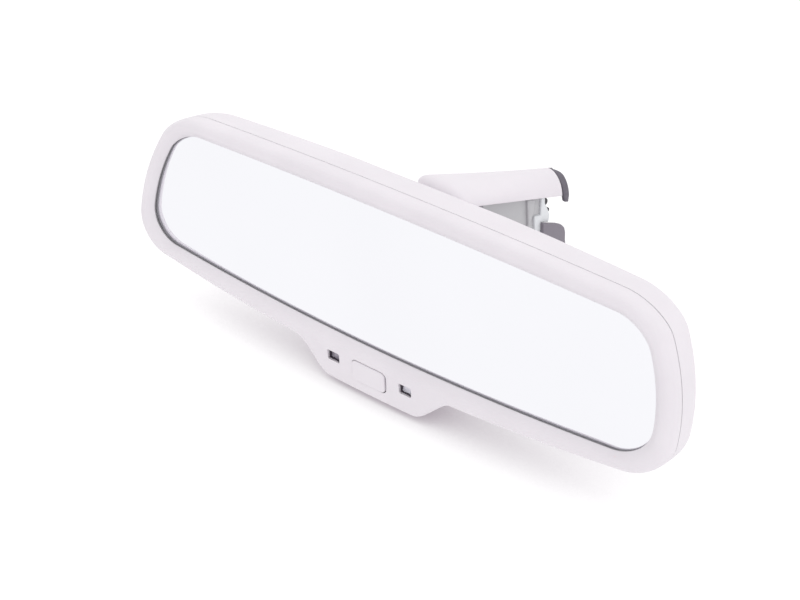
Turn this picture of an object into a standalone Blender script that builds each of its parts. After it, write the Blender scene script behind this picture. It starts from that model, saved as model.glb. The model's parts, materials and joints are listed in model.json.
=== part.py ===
"""Interior rearview mirror: a self-dimming glass in a two-shell head, on a ball-jointed stem.

Sizes below are millimetres, and MM turns them into metres. The origin is on the foot's
windshield face, near its top edge. +X is to the viewer's right when facing the glass, +Y
points from the glass to the windshield, and +Z is up.
Head pieces are modelled in the head frame, whose origin is the centre of the glass opening
in the plane of the bezel's lip. Stem pieces are modelled in the stem frame, whose
origin is the ball's centre, with +Y along the stem and +Z to the cover's crown.
"""
import math
from collections import namedtuple

import bmesh
import bpy
from mathutils import Euler, Matrix, Vector

MM = 0.001
GAP = 0.3                       # clearance between neighbouring pieces
WALL = 2.2                      # wall of the moulded shells

# Ball joint: ball, liner and cup are concentric spheres.
BALL_RADIUS = 8.0
NECK_RADIUS = 4.6
BORE_RADIUS = 2.5               # cable passage through ball and neck
LINER_THICKNESS = 1.7
CUP_THICKNESS = 2.0
SHELL_OPENING = 65.0            # half angle of the rear opening of liner and cup, degrees
LINER_INNER = BALL_RADIUS + GAP
LINER_OUTER = LINER_INNER + LINER_THICKNESS
CUP_INNER = LINER_OUTER + GAP
CUP_OUTER = CUP_INNER + CUP_THICKNESS
SEAT_RADIUS = CUP_OUTER + GAP

# Where the head and the stem sit.
BALL_IN_HEAD = (0.0, 26.0, 4.0)      # the ball's centre in the head frame
STEM_YAW = 14.0                      # stem swung towards +X, degrees
STEM_DROP = 6.3                      # stem sloping down away from the head, degrees

# Outlines of the head. Each is a bowed rectangle with soft corners.
Outline = namedtuple("Outline", "half_width top bottom top_sag bottom_sag end_bulge "
                                "top_taper bottom_taper top_corner end_top_corner "
                                "bottom_corner end_bottom_corner")
LIP = Outline(114.2, 27.8, 27.8, 1.5, 5.8, 4.9, 6.5, -4.4, 10.5, 9.2, 12.9, 12.5)
PARTING = Outline(121.9, 35.5, 36.3, 2.0, 8.6, 6.9, 10.5, -3.8, 15.1, 10.2, 13.2, 13.8)
PARTING_DEPTH = 4.8
CORNER_TENSION = 0.55

CHIN_FLAT = 23.0                # half width of the chin's flat bottom
CHIN_WIDE = 40.0                # half width where the chin has died out
CHIN_DROP = 11.6

# Bezel section, from the lip over the front ridge to the parting line and back inside:
# (outline mix, depth, share of the chin drop, depth in the chin)
BEZEL_SECTION = (
    (0.00, 0.0, 0.0, 0.0), (0.14, -0.75, 0.0, -0.75), (0.36, -1.85, 0.0, -1.85),
    (0.52, -2.2, 0.04, -2.1), (0.68, -1.95, 0.2, -0.7), (0.83, -0.95, 0.62, 0.95),
    (0.94, 0.7, 0.93, 2.0), (0.99, 2.6, 1.0, 3.1), (1.00, PARTING_DEPTH, 1.0, PARTING_DEPTH),
    (0.76, PARTING_DEPTH, 0.98, PARTING_DEPTH), (0.74, 2.6, 0.96, 3.3), (0.60, 0.9, 0.25, 1.2),
    (0.30, 0.45, 0.0, 0.45), (0.00, 0.45, 0.0, 0.45))

# Rear housing section: (inset from the parting outline, depth, share of the chin drop,
# how much shallower it is where it makes room for the stem's cover)
HOUSING_SECTION = (
    (0.0, PARTING_DEPTH + GAP, 1.0, 0.0), (0.0, 12.6, 0.95, 0.0), (0.3, 17.8, 0.8, 0.0),
    (1.2, 21.8, 0.55, 0.9), (3.4, 24.3, 0.3, 2.3), (7.0, 25.7, 0.12, 3.1),
    (12.0, 26.7, 0.0, 2.0), (17.0, 27.4, 0.0, 0.7), (21.5, 27.9, 0.0, 0.0),
    (27.0, 28.4, 0.0, 0.0), (34.0, 28.8, 0.0, 0.0))
RELIEF_FLAT = 15.0              # half width of that room at the top, and where it ends
RELIEF_WIDE = 38.0
SPINE_HALF = 88.0               # half length of the line that the housing's back closes on
SPINE_DEPTH = 35.5
END_THINNING = 0.29             # the housing's ends are this share shallower

# Chin details.
BUTTON_SIZE = (17.2, 9.0)
BUTTON_Z = -39.6
BUTTON_TRAVEL = 0.8
BUTTON_BACK = 3.6
CHIN_FACE_DEPTH = 0.3           # the chin face's depth at BUTTON_Z
CHIN_FACE_SLOPE = -0.28         # depth per millimetre of height
WINDOW_X = 17.6
WINDOW_Z = -38.4
WINDOW_SIZE = (5.6, 4.4)
WINDOW_Y = (1.0, 2.0)           # the window plug's front and back

# Layers behind the lip: (front, back)
GASKET_Y = (0.75, 1.25)
GLASS_FRONT_Y = (1.55, 3.35)
GEL_Y = (3.65, 4.05)
GLASS_REAR_Y = (4.35, 6.15)
FOAM_Y = (6.45, 8.1)
CARRIER_Y = (8.4, 10.4)
BOARD_Y = (8.0, 9.5)
GLASS_MIX = 0.2
SCREW_X = 72.0
SCREW_Z = 13.0
POST_END = 24.0
REAR_WINDOW = (38.0, 12.0)
REAR_WINDOW_RADIUS = 3.6

# Stem.
COVER_NOSE = -1.6
COVER_END = 60.2
COVER_BOTTOM = 25.7
COVER_WALL = 1.8
COVER_HALF_WIDTH = (15.2, 7.3)  # at the nose and at the end
COVER_RISE = (5.2, 8.9)
COVER_NOSE_LENGTH = 7.6
WEB_HALF_WIDTH = 6.0
RIBS = (26.0, 34.5, 43.0)        # where the outside ribs stand along the stem
SHOE_HALF_WIDTH = 8.5
SHOE_OUTER_TOP = (66.2, 10.0)   # along, height
SHOE_OUTER_END = (81.6, -19.0)
DATUM_FROM_TOP = 3.0            # the origin's distance below the foot's top edge


# Materials ------------------------------------------------------------------------------
def material(name, color, roughness, metallic=0.0, alpha=1.0):
    mat = bpy.data.materials.new(name)
    mat.use_nodes = True
    shader = mat.node_tree.nodes["Principled BSDF"]
    shader.inputs["Base Color"].default_value = (*color, 1.0)
    shader.inputs["Roughness"].default_value = roughness
    shader.inputs["Metallic"].default_value = metallic
    shader.inputs["Alpha"].default_value = alpha
    mat.diffuse_color = (*color, alpha)
    return mat


def make_materials():
    return {
        "shell": material("pearl_grey_plastic", (0.84, 0.81, 0.84), 0.45),
        "button": material("button_plastic", (0.82, 0.79, 0.82), 0.4),
        "bracket": material("pale_bracket_plastic", (0.76, 0.80, 0.83), 0.5),
        "dark": material("dark_plastic", (0.12, 0.11, 0.13), 0.55),
        "rubber": material("dark_rubber", (0.2, 0.18, 0.21), 0.7),
        "glass": material("cell_glass", (0.9, 0.92, 0.95), 0.02, alpha=0.4),
        "mirror": material("mirror_coat", (0.9, 0.91, 0.93), 0.03, 1.0),
        "gel": material("dimming_gel", (0.75, 0.8, 0.78), 0.2, alpha=0.5),
        "clear": material("clear_lens", (0.85, 0.85, 0.9), 0.05, alpha=0.4),
        "metal": material("cast_zinc", (0.6, 0.6, 0.62), 0.35, 1.0),
        "steel": material("bright_steel", (0.65, 0.66, 0.68), 0.25, 1.0),
        "copper": material("contact_strip", (0.75, 0.55, 0.35), 0.3, 1.0),
        "acetal": material("natural_acetal", (0.88, 0.87, 0.82), 0.45),
        "foam": material("foam_pad", (0.15, 0.15, 0.16), 0.9),
        "board": material("circuit_board", (0.05, 0.3, 0.12), 0.5),
        "cable": material("cable_sleeve", (0.03, 0.03, 0.03), 0.6),
    }


# Scene and object helpers ---------------------------------------------------------------
def clear_scene():
    for obj in list(bpy.data.objects):
        bpy.data.objects.remove(obj, do_unlink=True)


def new_collection(name):
    collection = bpy.data.collections.new(name)
    bpy.context.scene.collection.children.link(collection)
    return collection


def new_empty(name, parent=None, location=(0, 0, 0), rotation=(0, 0, 0)):
    empty = bpy.data.objects.new(name, None)
    PARTS.objects.link(empty)
    empty.parent = parent
    empty.location = Vector(location) * MM
    empty.rotation_euler = Euler([math.radians(a) for a in rotation])
    return empty


def new_part(name, mesh, parent, mat=None, location=(0, 0, 0), collection=None):
    obj = bpy.data.objects.new(name, mesh)
    (collection or PARTS).objects.link(obj)
    obj.parent = parent
    obj.location = Vector(location) * MM
    if mat:
        mesh.materials.append(MATERIALS[mat])
    return obj


def mesh_from(bm, name):
    """Closes off a bmesh made in millimetres as a mesh in metres, with its faces out."""
    bmesh.ops.scale(bm, vec=(MM, MM, MM), verts=bm.verts)
    bmesh.ops.recalc_face_normals(bm, faces=bm.faces)
    mesh = bpy.data.meshes.new(name)
    bm.to_mesh(mesh)
    bm.free()
    mesh.shade_smooth()
    mesh.set_sharp_from_angle(angle=math.radians(35))
    return mesh


def box_mesh(name, low, high, round_edges=0.0, axis=1):
    """A box between two corners; the edges along one axis can be rounded."""
    bm = bmesh.new()
    bmesh.ops.create_cube(bm, size=1.0)
    low, high = Vector(low), Vector(high)
    for vert in bm.verts:
        for i in range(3):
            vert.co[i] = low[i] + (vert.co[i] + 0.5) * (high[i] - low[i])
    if round_edges:
        edges = [e for e in bm.edges
                 if abs((e.verts[0].co - e.verts[1].co).normalized()[axis]) > 0.9]
        bmesh.ops.bevel(bm, geom=edges, offset=round_edges, segments=3, profile=0.5,
                        affect="EDGES")
    return mesh_from(bm, name)


def cylinder_mesh(name, radius, start, end, centre=(0, 0), segments=24):
    """A cylinder along Y from start to end."""
    bm = bmesh.new()
    bmesh.ops.create_cone(bm, cap_ends=True, segments=segments, radius1=radius,
                          radius2=radius, depth=end - start)
    turn = Matrix.Rotation(math.radians(90), 4, "X")
    move = Matrix.Translation((centre[0], (start + end) / 2, centre[1]))
    bmesh.ops.transform(bm, matrix=move @ turn, verts=bm.verts)
    return mesh_from(bm, name)


def turned_mesh(name, profile, steps=32):
    """Turns a closed profile of (radius, depth) round the Y axis."""
    bm = bmesh.new()
    verts = [bm.verts.new((radius * MM, depth * MM, 0)) for radius, depth in profile]
    for a, b in zip(verts, verts[1:] + verts[:1]):
        bm.edges.new((a, b))
    mesh = bpy.data.meshes.new(name)
    bm.to_mesh(mesh)
    bm.free()
    obj = new_part(name + "_profile", mesh, None)
    screw = obj.modifiers.new("turn", "SCREW")
    screw.axis = "Y"
    screw.steps = screw.render_steps = steps
    screw.use_merge_vertices = True
    screw.merge_threshold = 0.00001
    solid = evaluated_mesh(obj, name)
    bm = bmesh.new()
    bm.from_mesh(solid)
    bmesh.ops.remove_doubles(bm, verts=bm.verts, dist=0.000001)
    bmesh.ops.scale(bm, vec=(1 / MM,) * 3, verts=bm.verts)
    bpy.data.meshes.remove(solid)
    return mesh_from(bm, name)


def evaluated_mesh(obj, name):
    """Takes an object's mesh with its modifiers applied, and removes the object."""
    graph = bpy.context.evaluated_depsgraph_get()
    mesh = bpy.data.meshes.new_from_object(obj.evaluated_get(graph))
    mesh.name = name
    bpy.data.objects.remove(obj, do_unlink=True)
    return mesh


def prism_mesh(name, side_profile, half_width):
    """Extrudes a (along, height) outline across the stem, from -half_width to half_width."""
    bm = bmesh.new()
    verts = [bm.verts.new((-half_width, along, height)) for along, height in side_profile]
    face = bm.faces.new(verts)
    moved = bmesh.ops.extrude_face_region(bm, geom=[face])["geom"]
    bmesh.ops.translate(bm, vec=(2 * half_width, 0, 0),
                        verts=[v for v in moved if isinstance(v, bmesh.types.BMVert)])
    return mesh_from(bm, name)


def cable_mesh(name, points, radius):
    """A round cable through the given points, with closed ends."""
    curve = bpy.data.curves.new(name, "CURVE")
    curve.dimensions = "3D"
    curve.bevel_depth = radius * MM
    curve.bevel_resolution = 2
    curve.use_fill_caps = True
    spline = curve.splines.new("POLY")
    spline.points.add(len(points) - 1)
    for point, target in zip(points, spline.points):
        target.co = (*(Vector(point) * MM), 1.0)
    obj = bpy.data.objects.new(name + "_path", curve)
    PARTS.objects.link(obj)
    mesh = evaluated_mesh(obj, name)
    bpy.data.curves.remove(curve)
    bm = bmesh.new()
    bm.from_mesh(mesh)
    bmesh.ops.remove_doubles(bm, verts=bm.verts, dist=0.000001)
    bmesh.ops.scale(bm, vec=(1 / MM,) * 3, verts=bm.verts)
    bpy.data.meshes.remove(mesh)
    return mesh_from(bm, name)


def boolean(target, tool_mesh, operation="DIFFERENCE"):
    """Cuts or joins a tool shape, modelled in the target's own frame."""
    tool = new_part(tool_mesh.name, tool_mesh, target.parent, collection=CUTTERS)
    tool.location = target.location
    tool.hide_render = True
    tool.display_type = "WIRE"
    modifier = target.modifiers.new(tool.name, "BOOLEAN")
    modifier.operation = operation
    modifier.solver = "EXACT"
    modifier.object = tool


# Head outlines --------------------------------------------------------------------------
def mixed(amount):
    """An outline between the lip (0) and the parting line (1), or beyond."""
    return Outline(*(a + (b - a) * amount for a, b in zip(LIP, PARTING)))


def bezier(start, start_handle, end_handle, end, count):
    points = []
    for i in range(1, count):
        t = i / count
        s = 1 - t
        points.append(start * s ** 3 + start_handle * 3 * s * s * t
                      + end_handle * 3 * s * t * t + end * t ** 3)
    return points


def soft_corner(start, start_dir, end, end_dir, count):
    """Points of a corner between two edges, with handles towards where the edges meet."""
    cross = start_dir.x * end_dir.y - start_dir.y * end_dir.x
    gap = end - start
    reach = (gap.x * end_dir.y - gap.y * end_dir.x) / cross
    meeting = start + start_dir * reach
    return bezier(start, start + (meeting - start) * CORNER_TENSION,
                  end + (meeting - end) * CORNER_TENSION, end, count)


def half_outline(o):
    """The right half of an outline as (x, z), from the top centre to the bottom centre."""
    top_corner = Vector((o.half_width - o.top_taper, o.top - o.top_sag))
    low_corner = Vector((o.half_width - o.bottom_taper, -o.bottom + o.bottom_sag))
    bulge = (top_corner + low_corner) / 2 + Vector((2 * o.end_bulge, 0))
    length = top_corner.y - low_corner.y

    def top_at(x):
        return Vector((x, o.top - o.top_sag * (x / top_corner.x) ** 2))

    def bottom_at(x):
        return Vector((x, -o.bottom + o.bottom_sag * (x / low_corner.x) ** 2))

    def end_at(v):
        return low_corner * (1 - v) ** 2 + bulge * 2 * v * (1 - v) + top_corner * v * v

    def end_dir(v):
        return ((bulge - low_corner) * (1 - v) + (top_corner - bulge) * v).normalized()

    top_stop = top_corner.x - o.top_corner
    bottom_stop = low_corner.x - o.bottom_corner
    v_top = 1 - o.end_top_corner / length
    v_low = o.end_bottom_corner / length
    points = [top_at(top_stop * i / 8) for i in range(9)]
    slope = Vector((1, -2 * o.top_sag * top_stop / top_corner.x ** 2))
    points += soft_corner(points[-1], slope, end_at(v_top), end_dir(v_top), 6)
    points += [end_at(v_top + (v_low - v_top) * i / 4) for i in range(5)]
    slope = Vector((1, 2 * o.bottom_sag * bottom_stop / low_corner.x ** 2))
    points += soft_corner(points[-1], end_dir(v_low), bottom_at(bottom_stop), slope, 6)
    points += [bottom_at(bottom_stop + (CHIN_WIDE - bottom_stop) * i / 5) for i in range(5)]
    points += [bottom_at(CHIN_WIDE * (1 - i / 11)) for i in range(12)]
    return points


def full_outline(o):
    right = half_outline(o)
    left = [Vector((-p.x, p.y)) for p in reversed(right[1:-1])]
    return right + left


def fade(x, flat, wide):
    """1 within flat of the middle, falling smoothly to 0 at wide."""
    t = min(max((wide - abs(x)) / (wide - flat), 0.0), 1.0)
    return t * t * (3 - 2 * t)


def with_chin(point, share):
    return fade(point.x, CHIN_FLAT, CHIN_WIDE) * share if point.y < 0 else 0.0


def ring_mesh(name, rings, closed_section):
    """Skins rings of equal length; the section closes on itself or the ends get caps."""
    bm = bmesh.new()
    loops = [[bm.verts.new(p) for p in ring] for ring in rings]
    pairs = list(zip(loops, loops[1:]))
    if closed_section:
        pairs.append((loops[-1], loops[0]))
    for a, b in pairs:
        for i in range(len(a)):
            j = (i + 1) % len(a)
            bm.faces.new((a[i], a[j], b[j], b[i]))
    if not closed_section:
        bm.faces.new(loops[0])
        bm.faces.new(reversed(loops[-1]))
    return mesh_from(bm, name)


def plate_mesh(name, amount, depths):
    """A flat plate with the head's outline at a given mix, between two depths."""
    outline = full_outline(mixed(amount))
    return ring_mesh(name, [[(p.x, y, p.y) for p in outline] for y in depths], False)


# Head pieces ----------------------------------------------------------------------------
def make_bezel(head):
    rings = []
    for amount, depth, share, chin_depth in BEZEL_SECTION:
        ring = []
        for p in full_outline(mixed(amount)):
            chin = with_chin(p, 1.0)
            ring.append((p.x, depth + (chin_depth - depth) * chin, p.y - CHIN_DROP * share * chin))
        rings.append(ring)
    bezel = new_part("bezel", ring_mesh("bezel", rings, True), head, "shell")
    half_x, half_z = BUTTON_SIZE[0] / 2 + GAP, BUTTON_SIZE[1] / 2 + GAP
    boolean(bezel, box_mesh("button_hole", (-half_x, -6, BUTTON_Z - half_z),
                            (half_x, 4, BUTTON_Z + half_z), 2.3))
    for side, label in ((-1, "lamp"), (1, "sensor")):
        x = side * WINDOW_X
        boolean(bezel, box_mesh(label + "_hole",
                                (x - WINDOW_SIZE[0] / 2, -6, WINDOW_Z - WINDOW_SIZE[1] / 2),
                                (x + WINDOW_SIZE[0] / 2, 4, WINDOW_Z + WINDOW_SIZE[1] / 2), 0.6))
    return bezel


def housing_point(p, inset, depth, share, relief):
    """A point of the housing's skin, drawn in from the parting outline towards the spine."""
    if p.y > 0:
        depth -= relief * fade(p.x, RELIEF_FLAT, RELIEF_WIDE)
    spine_x = max(-SPINE_HALF, min(SPINE_HALF, p.x * SPINE_HALF / PARTING.half_width))
    pull = inset / SPINE_DEPTH
    x = p.x + (spine_x - p.x) * pull
    z = p.y * (1 - pull)
    thin = 1 - END_THINNING * (x / PARTING.half_width) ** 2
    start = PARTING_DEPTH + GAP
    y = start + (depth - start) * thin
    return (x, y, z - CHIN_DROP * with_chin(p, share))


def make_rear_housing(head):
    outline = full_outline(PARTING)
    rings = [[housing_point(p, *station) for p in outline] for station in HOUSING_SECTION]
    bm = bmesh.new()
    loops = [[bm.verts.new(p) for p in ring] for ring in rings]
    for a, b in zip(loops, loops[1:]):
        for i in range(len(a)):
            j = (i + 1) % len(a)
            bm.faces.new((a[i], b[i], b[j], a[j]))
    bm.faces.new(loops[-1])
    housing = new_part("rear_housing", mesh_from(bm, "rear_housing"), head, "shell")
    shell = housing.modifiers.new("wall", "SOLIDIFY")
    shell.thickness = WALL * MM
    shell.offset = -1.0
    shell.use_even_offset = True
    for x in (-SCREW_X, SCREW_X):
        for z in (-SCREW_Z, SCREW_Z):
            spot = (x, z)
            label = "post_%d_%d" % (x, z)
            boolean(housing, cylinder_mesh(label, 3.2, CARRIER_Y[1] + GAP, POST_END, spot, 20),
                    "UNION")
            boolean(housing, cylinder_mesh(label + "_bore", 1.4, CARRIER_Y[1] - 1, 19.6, spot, 16))
    ball_x, _, ball_z = BALL_IN_HEAD
    boolean(housing, cylinder_mesh("ball_opening", 14.0, 20.0, 40.0, (ball_x, ball_z), 48))
    boolean(housing, cylinder_mesh("rear_window_hole", REAR_WINDOW_RADIUS + GAP, 18.0, 40.0,
                                   REAR_WINDOW, 24))
    return housing


def make_glass_stack(head):
    gasket = []
    for amount, depth in ((0.0, GASKET_Y[0]), (0.26, GASKET_Y[0]),
                          (0.26, GASKET_Y[1]), (0.0, GASKET_Y[1])):
        gasket.append([(p.x, depth, p.y) for p in full_outline(mixed(amount))])
    new_part("glass_gasket", ring_mesh("glass_gasket", gasket, True), head, "rubber")
    for name, amount, depths, mat in (
            ("glass_front", GLASS_MIX, GLASS_FRONT_Y, "glass"),
            ("cell_gel", GLASS_MIX - 0.15, GEL_Y, "gel"),
            ("glass_rear", GLASS_MIX, GLASS_REAR_Y, "mirror"),
            ("foam_pad", -0.4, FOAM_Y, "foam")):
        new_part(name, plate_mesh(name, amount, depths), head, mat)
    for name, sign in (("bus_clip_top", 1), ("bus_clip_bottom", -1)):
        low, high = sorted((sign * 30.0, sign * 30.7))
        new_part(name, box_mesh(name, (-50, 2.6, low), (50, 6.4, high)), head, "copper")


def make_carrier(head):
    carrier = new_part("carrier_plate", plate_mesh("carrier_plate", -0.1, CARRIER_Y), head,
                       "acetal")
    floor = CARRIER_Y[1] - BALL_IN_HEAD[1]
    ledge = floor + 1.9
    boss = turned_mesh("socket_boss", ((7.5, floor - 0.5), (14.5, floor - 0.5), (14.5, -4.2),
                                       (SEAT_RADIUS + 0.1, -4.2), (SEAT_RADIUS + 0.1, ledge),
                                       (7.5, ledge)), 40)
    boss.transform(Matrix.Translation(Vector(BALL_IN_HEAD) * MM))
    boolean(carrier, boss, "UNION")
    x, y, z = BALL_IN_HEAD
    boolean(carrier, box_mesh("cable_notch", (x - 1.6, y + floor + 0.02, z - 20),
                              (x + 1.6, y + ledge + 0.4, z)))
    for sx in (-SCREW_X, SCREW_X):
        for sz in (-SCREW_Z, SCREW_Z):
            label = "screw_hole_%d_%d" % (sx, sz)
            boolean(carrier, cylinder_mesh(label, 1.6, CARRIER_Y[0] - 1, CARRIER_Y[1] + 1,
                                           (sx, sz), 16))
            boolean(carrier, cylinder_mesh(label + "_seat", 3.0, CARRIER_Y[0] - 1,
                                           CARRIER_Y[0] + 1.2, (sx, sz), 20))


def make_carrier_screws(head):
    number = 0
    front = CARRIER_Y[0] + 0.1
    profile = ((0.0, front), (2.6, front), (2.6, front + 0.8), (1.05, front + 0.8),
               (1.05, 18.0), (0.5, 18.8), (0.0, 18.8))
    for x in (-SCREW_X, SCREW_X):
        for z in (-SCREW_Z, SCREW_Z):
            number += 1
            name = "carrier_screw_%d" % number
            new_part(name, turned_mesh(name, profile, 16), head, "steel", (x, 0, z))


def make_electronics(head):
    new_part("circuit_board", box_mesh("circuit_board", (-22, BOARD_Y[0], -43.3),
                                       (22, BOARD_Y[1], -31.5), 1.0), head, "board")
    back = BOARD_Y[1] + GAP
    front = BOARD_Y[0] - GAP
    new_part("control_chip", box_mesh("control_chip", (-13, back, -41), (-5, back + 1.3, -33.5)),
             head, "dark")
    new_part("board_connector", box_mesh("board_connector", (8, back, -39.5), (18, back + 4.2, -34.0),
                                         0.5), head, "acetal")
    new_part("glare_sensor", box_mesh("glare_sensor", (WINDOW_X - 2, 3.2, WINDOW_Z - 1.7),
                                      (WINDOW_X + 2, front, WINDOW_Z + 1.7), 0.4), head, "dark")
    lamp = turned_mesh("status_lamp", ((0.0, 3.0), (0.8, 3.2), (1.35, 3.8), (1.5, 4.5),
                                       (1.5, 6.8), (1.9, 6.8), (1.9, front), (0.0, front)), 20)
    new_part("status_lamp", lamp, head, "clear", (-WINDOW_X, 0, WINDOW_Z))
    for name, side in (("sensor_window", 1), ("lamp_window", -1)):
        half_x, half_z = WINDOW_SIZE[0] / 2 - GAP, WINDOW_SIZE[1] / 2 - GAP
        x = side * WINDOW_X
        new_part(name, box_mesh(name, (x - half_x, WINDOW_Y[0], WINDOW_Z - half_z),
                                (x + half_x, WINDOW_Y[1], WINDOW_Z + half_z), 0.3), head, "clear")
    switch = new_part("switch_body", box_mesh("switch_body", (-3.1, 5.2, BUTTON_Z - 3.1),
                                              (3.1, front, BUTTON_Z + 3.1)), head, "dark")
    boolean(switch, cylinder_mesh("plunger_hole", 1.9, 4.0, 7.0, (0, BUTTON_Z), 24))
    new_part("ambient_sensor", cylinder_mesh("ambient_sensor", 2.4, CARRIER_Y[1] + GAP, 22.5,
                                             (0, 0), 20), head, "dark",
             (REAR_WINDOW[0], 0, REAR_WINDOW[1]))
    new_part("rear_sensor_window", turned_mesh(
        "rear_sensor_window", ((0.0, 23.8), (REAR_WINDOW_RADIUS, 23.8), (REAR_WINDOW_RADIUS, 26.2),
                               (3.0, 26.9), (1.6, 27.2), (0.0, 27.3)), 24), head, "clear",
        (REAR_WINDOW[0], 0, REAR_WINDOW[1]))
    x, y, z = BALL_IN_HEAD
    depth = CARRIER_Y[1] + 1.1
    path = [(x, depth, z + 3), (x, depth, z - 16.5), (x + 1, depth + 0.3, z - 20),
            (8, depth + 0.6, -23), (12, depth + 0.6, -28), (13, depth + 0.6, -31),
            (13, depth + 0.6, -33.7)]
    new_part("head_cable", cable_mesh("head_cable", path, 0.8), head, "cable")


def make_button(head):
    """The button's front face follows the chin's slope; its sides run along its travel."""
    half_x, half_z = BUTTON_SIZE[0] / 2, BUTTON_SIZE[1] / 2
    mesh = box_mesh("dimming_button", (-half_x, CHIN_FACE_DEPTH, -half_z),
                    (half_x, BUTTON_BACK, half_z), 2.0)
    for vert in mesh.vertices:
        if vert.co.y < BUTTON_BACK * MM / 2:
            vert.co.y += vert.co.z * CHIN_FACE_SLOPE
    new_part("dimming_button", mesh, head, "button", (0, 0, BUTTON_Z))
    new_part("switch_plunger", cylinder_mesh("switch_plunger", 1.6, BUTTON_BACK + GAP, 6.1,
                                             (0, 0), 20), head, "acetal", (0, 0, BUTTON_Z))


# Ball joint -----------------------------------------------------------------------------
def sphere_shell_mesh(name, inner, outer, front_hole, steps=28):
    """A spherical shell, open towards +Y by SHELL_OPENING and with a small front hole."""
    def arc(radius, start, end, count):
        angles = [start + (end - start) * i / count for i in range(count + 1)]
        return [(radius * math.sin(math.radians(a)), radius * math.cos(math.radians(a)))
                for a in angles]
    outer_front = 180 - math.degrees(math.asin(front_hole / outer))
    inner_front = 180 - math.degrees(math.asin(front_hole / inner))
    profile = arc(outer, SHELL_OPENING, outer_front, 8) + arc(inner, inner_front,
                                                              SHELL_OPENING, 8)
    return turned_mesh(name, profile, steps)


def make_ball_joint(yaw, pitch, head):
    new_part("ball_liner", sphere_shell_mesh("ball_liner", LINER_INNER, LINER_OUTER, 4.0), yaw,
             "acetal")
    new_part("socket_cup", sphere_shell_mesh("socket_cup", CUP_INNER, CUP_OUTER, 4.0), pitch,
             "dark")
    seat = []
    for i in range(5):
        depth = -1.0 + 5.7 * i / 4
        seat.append((math.sqrt(SEAT_RADIUS ** 2 - depth ** 2), depth))
    ring = turned_mesh("socket_ring", [(13.7, 3.6), (13.7, -1.0)] + seat + [(13.2, 4.7)], 32)
    new_part("socket_ring", ring, head, "shell", BALL_IN_HEAD)
    turns, per_turn, radius = 2.0, 16, 9.0
    start, end = -12.9, -9.9
    count = int(turns * per_turn)
    path = []
    for i in range(count + 1):
        angle = 2 * math.pi * i / per_turn
        path.append((radius * math.cos(angle), start + (end - start) * i / count,
                     radius * math.sin(angle)))
    new_part("socket_spring", cable_mesh("socket_spring", path, 0.5), head, "steel", BALL_IN_HEAD)


# Stem -----------------------------------------------------------------------------------
def cover_size(along):
    """Half width and rise of the cover's arch at a distance along the stem."""
    t = (along - COVER_NOSE) / (COVER_END - COVER_NOSE)
    q = min(max((along - COVER_NOSE) / COVER_NOSE_LENGTH, 0.0), 1.0)
    nose = (1 - (1 - q) ** 2.2) ** (1 / 2.2)
    width = COVER_HALF_WIDTH[0] + (COVER_HALF_WIDTH[1] - COVER_HALF_WIDTH[0]) * t
    rise = COVER_RISE[0] + (COVER_RISE[1] - COVER_RISE[0]) * t
    return width * nose, rise * nose


def arch(half_width, rise, along, base, lean=0.0, count=16):
    """Half an ellipse across the stem; lean moves its lower points along the stem."""
    points = []
    for i in range(count + 1):
        angle = math.pi * i / count
        height = rise * math.sin(angle)
        points.append((half_width * math.cos(angle), along + lean * (rise - height),
                       base + height))
    return points


def skin_arches(name, outer, inner):
    """Closes two matching sets of arches into one shell."""
    sections = [o + list(reversed(i)) for o, i in zip(outer, inner)]
    return ring_mesh(name, sections, False)


def make_cover(stem):
    stations = [COVER_NOSE + COVER_NOSE_LENGTH * f for f in (0.012, 0.05, 0.12, 0.24, 0.42, 0.68)]
    first = COVER_NOSE + COVER_NOSE_LENGTH
    stations += [first + (COVER_END - first) * i / 6 for i in range(7)]
    outer, inner = [], []
    for along in stations:
        width, rise = cover_size(along)
        wall = min(COVER_WALL, width * 0.45, rise * 0.45)
        outer.append(arch(width, rise, along, COVER_BOTTOM))
        inner.append(arch(width - wall, rise - wall, along, COVER_BOTTOM))
    new_part("stem_cover", skin_arches("stem_cover", outer, inner), stem, "shell")
    width, rise = cover_size(COVER_END)
    drop = 2.4
    outer, inner = [], []
    for along, lean in ((COVER_END + GAP, 0.0), (COVER_END + 1.0, 0.28)):
        outer.append(arch(width, rise + drop, along, COVER_BOTTOM - drop, lean))
        inner.append(arch(width - 2.6, rise + drop - 2.6, along, COVER_BOTTOM - drop, lean))
    new_part("end_seal", skin_arches("end_seal", outer, inner), stem, "rubber")


def make_ball_stud(stem):
    def on_ball(degrees):
        return (BALL_RADIUS * math.sin(math.radians(degrees)),
                BALL_RADIUS * math.cos(math.radians(degrees)))
    neck_angle = math.degrees(math.asin(NECK_RADIUS / BALL_RADIUS))
    hole_angle = 180 - math.degrees(math.asin(BORE_RADIUS / BALL_RADIUS))
    ball = [on_ball(hole_angle + (neck_angle - hole_angle) * i / 10) for i in range(11)]
    shank = [(NECK_RADIUS, 13.0), (7.4, 13.6), (7.4, 15.0), (4.9, 15.0), (4.9, 29.0),
             (BORE_RADIUS, 29.0)]
    new_part("ball_stud", turned_mesh("ball_stud", ball + shank, 28), stem, "metal")


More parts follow.
